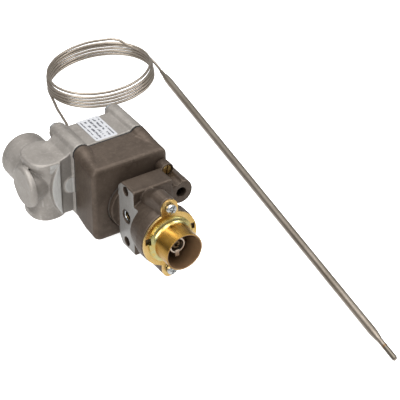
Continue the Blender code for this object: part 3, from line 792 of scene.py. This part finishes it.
def rounded_outline(low, high, radius, steps):
    """Points round a rectangle with round corners, anticlockwise from above."""
    corners = (
        (high[0] - radius, low[1] + radius, -90),
        (high[0] - radius, high[1] - radius, 0),
        (low[0] + radius, high[1] - radius, 90),
        (low[0] + radius, low[1] + radius, 180),
    )
    found = []
    for x, y, start in corners:
        for step in range(steps + 1):
            angle = math.radians(start + 90 * step / steps)
            found.append((x + radius * math.cos(angle), y + radius * math.sin(angle)))
    return found


def label():
    """A thin sticker on the flat between the rear housing's two upper lobes."""
    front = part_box("housing_gasket")[1].y / MM + LABEL_FRONT
    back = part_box("capillary_gland")[0].y / MM - LABEL_BACK
    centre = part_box("rear_housing")[1].x / MM - HOUSING_HALF + LABEL_SHIFT
    low = (centre - LABEL_WIDTH / 2, front)
    high = (centre + LABEL_WIDTH / 2, back)
    outline = rounded_outline(low, high, LABEL_CORNER, LABEL_STEPS)
    under = FLAT_TOP + LABEL_LIFT
    rings = [[(x, y, z) for x, y in outline] for z in (under, under + LABEL_THICK)]
    piece("label", rings, label_paper(Vector((*low, 0)) * MM, Vector((*high, 0)) * MM))


def outlet_thread(material):
    """The pipe thread's ridge, wound up inside the outlet barrel."""
    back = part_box("rear_housing")[1].y / MM - THREAD_BACK
    root = OUTLET_BORE + THREAD_BURIED
    count = THREAD_TURNS * THREAD_STEPS
    rings = []
    for step in range(count + 1):
        angle = 2 * math.pi * step / THREAD_STEPS
        y = back - THREAD_PITCH * step / THREAD_STEPS
        fade = min(1.0, step / THREAD_RUNOUT, (count - step) / THREAD_RUNOUT)
        crest = OUTLET_BORE - THREAD_DEPTH * fade
        profile = (
            (root, THREAD_ROOT),
            (crest, THREAD_CREST),
            (crest, -THREAD_CREST),
            (root, -THREAD_ROOT),
        )
        ring = []
        for radius, shift in profile:
            x = OUTLET_AXIS[0] + radius * math.cos(angle)
            z = OUTLET_AXIS[1] + radius * math.sin(angle)
            ring.append((x, y + shift, z))
        rings.append(ring)
    piece("outlet_thread", rings, material)


def inlet_seat(material):
    """The pressed-in seat that the inlet fitting's seal bears on, just inside the inlet port."""
    profile = (
        (SEAT_INNER, SEAT_CHAMFER),
        (SEAT_INNER + SEAT_CHAMFER, 0.0),
        (SEAT_OUTER, 0.0),
        (SEAT_OUTER, SEAT_DEPTH),
        (SEAT_INNER, SEAT_DEPTH),
    )
    rings = []
    for step in range(SEAT_STEPS):
        angle = 2 * math.pi * step / SEAT_STEPS
        ring = []
        for radius, depth in profile:
            y = SEAT_CENTRE[1] + radius * math.cos(angle)
            z = SEAT_CENTRE[2] + radius * math.sin(angle)
            ring.append((SEAT_CENTRE[0] + depth, y, z))
        rings.append(ring)
    piece("inlet_seat", rings, material, closed=True)


def spring_rings(low, high):
    """Rings round a wire that is wound along Y from low to high."""
    centre = (low + high) / 2
    reach = (high.x - low.x) / 2 - SPRING_WIRE
    first = low.y + SPRING_WIRE
    rise = high.y - SPRING_WIRE - first
    count = round(SPRING_TURNS * SPRING_STEPS)
    rings = []
    for step in range(count + 1):
        turned = 2 * math.pi * SPRING_TURNS * step / count
        ring = []
        for side in range(SPRING_SIDES):
            around = 2 * math.pi * side / SPRING_SIDES
            radius = reach + SPRING_WIRE * math.cos(around)
            x = centre.x + radius * math.cos(turned)
            y = first + rise * step / count + SPRING_WIRE * math.sin(around)
            ring.append((x, y, centre.z + radius * math.sin(turned)))
        rings.append(ring)
    return rings


def valve_spring(material):
    """The coil spring in front of the valve disc, built at rest length in the CAD spring's box,
    though the real spring shortens as the disc travels.
    """
    low, high = [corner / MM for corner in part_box("valve_spring")]
    item = skin("sprung_coil", spring_rings(low, high), material)
    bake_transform(item)
    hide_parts("valve_spring")


# ---------------------------------------------------------------- stage


def lights():
    for name, place, target, size, power in LIGHTS:
        data = bpy.data.lights.new(name, "AREA")
        data.shape = "RECTANGLE"
        data.size, data.size_y = size
        data.energy = power
        light = add_object(name, data)
        light.location = place
        light.rotation_mode = "QUATERNION"
        toward = Vector(target) - Vector(place)
        light.rotation_quaternion = toward.to_track_quat("-Z", "Y")


def world():
    """A studio sky: bright above and below, and dim at the horizon for the metal to show."""
    made = bpy.data.worlds.new("studio")
    bpy.context.scene.world = made
    made.use_nodes = True
    tree = made.node_tree
    background = tree.nodes["Background"]
    coordinates = tree.nodes.new("ShaderNodeTexCoord")
    parts = tree.nodes.new("ShaderNodeSeparateXYZ")
    height = tree.nodes.new("ShaderNodeMapRange")
    height.inputs["From Min"].default_value = -1.0
    ramp = tree.nodes.new("ShaderNodeValToRGB")
    stops = ramp.color_ramp.elements
    for position, _ in SKY[2:]:
        stops.new(position)
    for stop, (position, grey) in zip(stops, SKY):
        stop.position = position
        stop.color = (grey, grey, grey, 1.0)
    tree.links.new(coordinates.outputs["Generated"], parts.inputs["Vector"])
    tree.links.new(parts.outputs["Z"], height.inputs["Value"])
    tree.links.new(height.outputs["Result"], ramp.inputs["Fac"])
    tree.links.new(ramp.outputs["Color"], background.inputs["Color"])
    background.inputs["Strength"].default_value = SKY_STRENGTH


def floor():
    """The table under the valve, which reflections leave out."""
    mesh = bpy.data.meshes.new("floor")
    half = FLOOR_HALF
    corners = [(-half, -half, 0), (half, -half, 0), (half, half, 0), (-half, half, 0)]
    mesh.from_pydata(corners, [], [(0, 1, 2, 3)])
    mesh.materials.append(floor_paint())
    item = add_object("floor", mesh)
    item.location.z = -FLOOR_DROP
    item.visible_glossy = False


def camera():
    data = bpy.data.cameras.new("camera")
    data.lens = CAMERA_LENS
    data.sensor_width = CAMERA_SENSOR
    item = add_object("camera", data)
    item.location = Vector(CAMERA_PLACE) * MM
    item.rotation_euler = (math.radians(CAMERA_PITCH), 0, math.radians(CAMERA_HEADING))
    bpy.context.scene.camera = item


def dress_turned():
    """Dresses every turned part, and gives back the turned metals by name."""
    metals = {}
    for name, (dark, light, roughness, nodes) in TURNED.items():
        metals[name] = turned_metal(name, dark, light, roughness)
        for node in nodes:
            dress(node, metals[name])
    return metals


def main():
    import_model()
    camera()
    tube = drawn_tube()
    dress("sensing_bulb", bulb_tube())
    capillary(tube)
    silver = rear_casting()
    soften("front_body", front_casting(), grain=0.35, rounds=5)
    soften("main_housing", brown_casting(), grain=0.4, rounds=6)
    soften("rear_housing", silver, grain=0.4, rounds=6)
    dress("dial_collar", gold_chromate())
    metals = dress_turned()
    valve_spring(tube)
    dress("power_element", tube)
    dress("front_gasket", fibre())
    seal = rubber()
    for name in SEAL_NODES:
        dress(name, seal)
    label()
    inlet_seat(metals["zinc_plate"])
    outlet_thread(silver)
    floor()
    lights()
    world()
    bpy.context.scene.view_settings.view_transform = "Standard"


main()
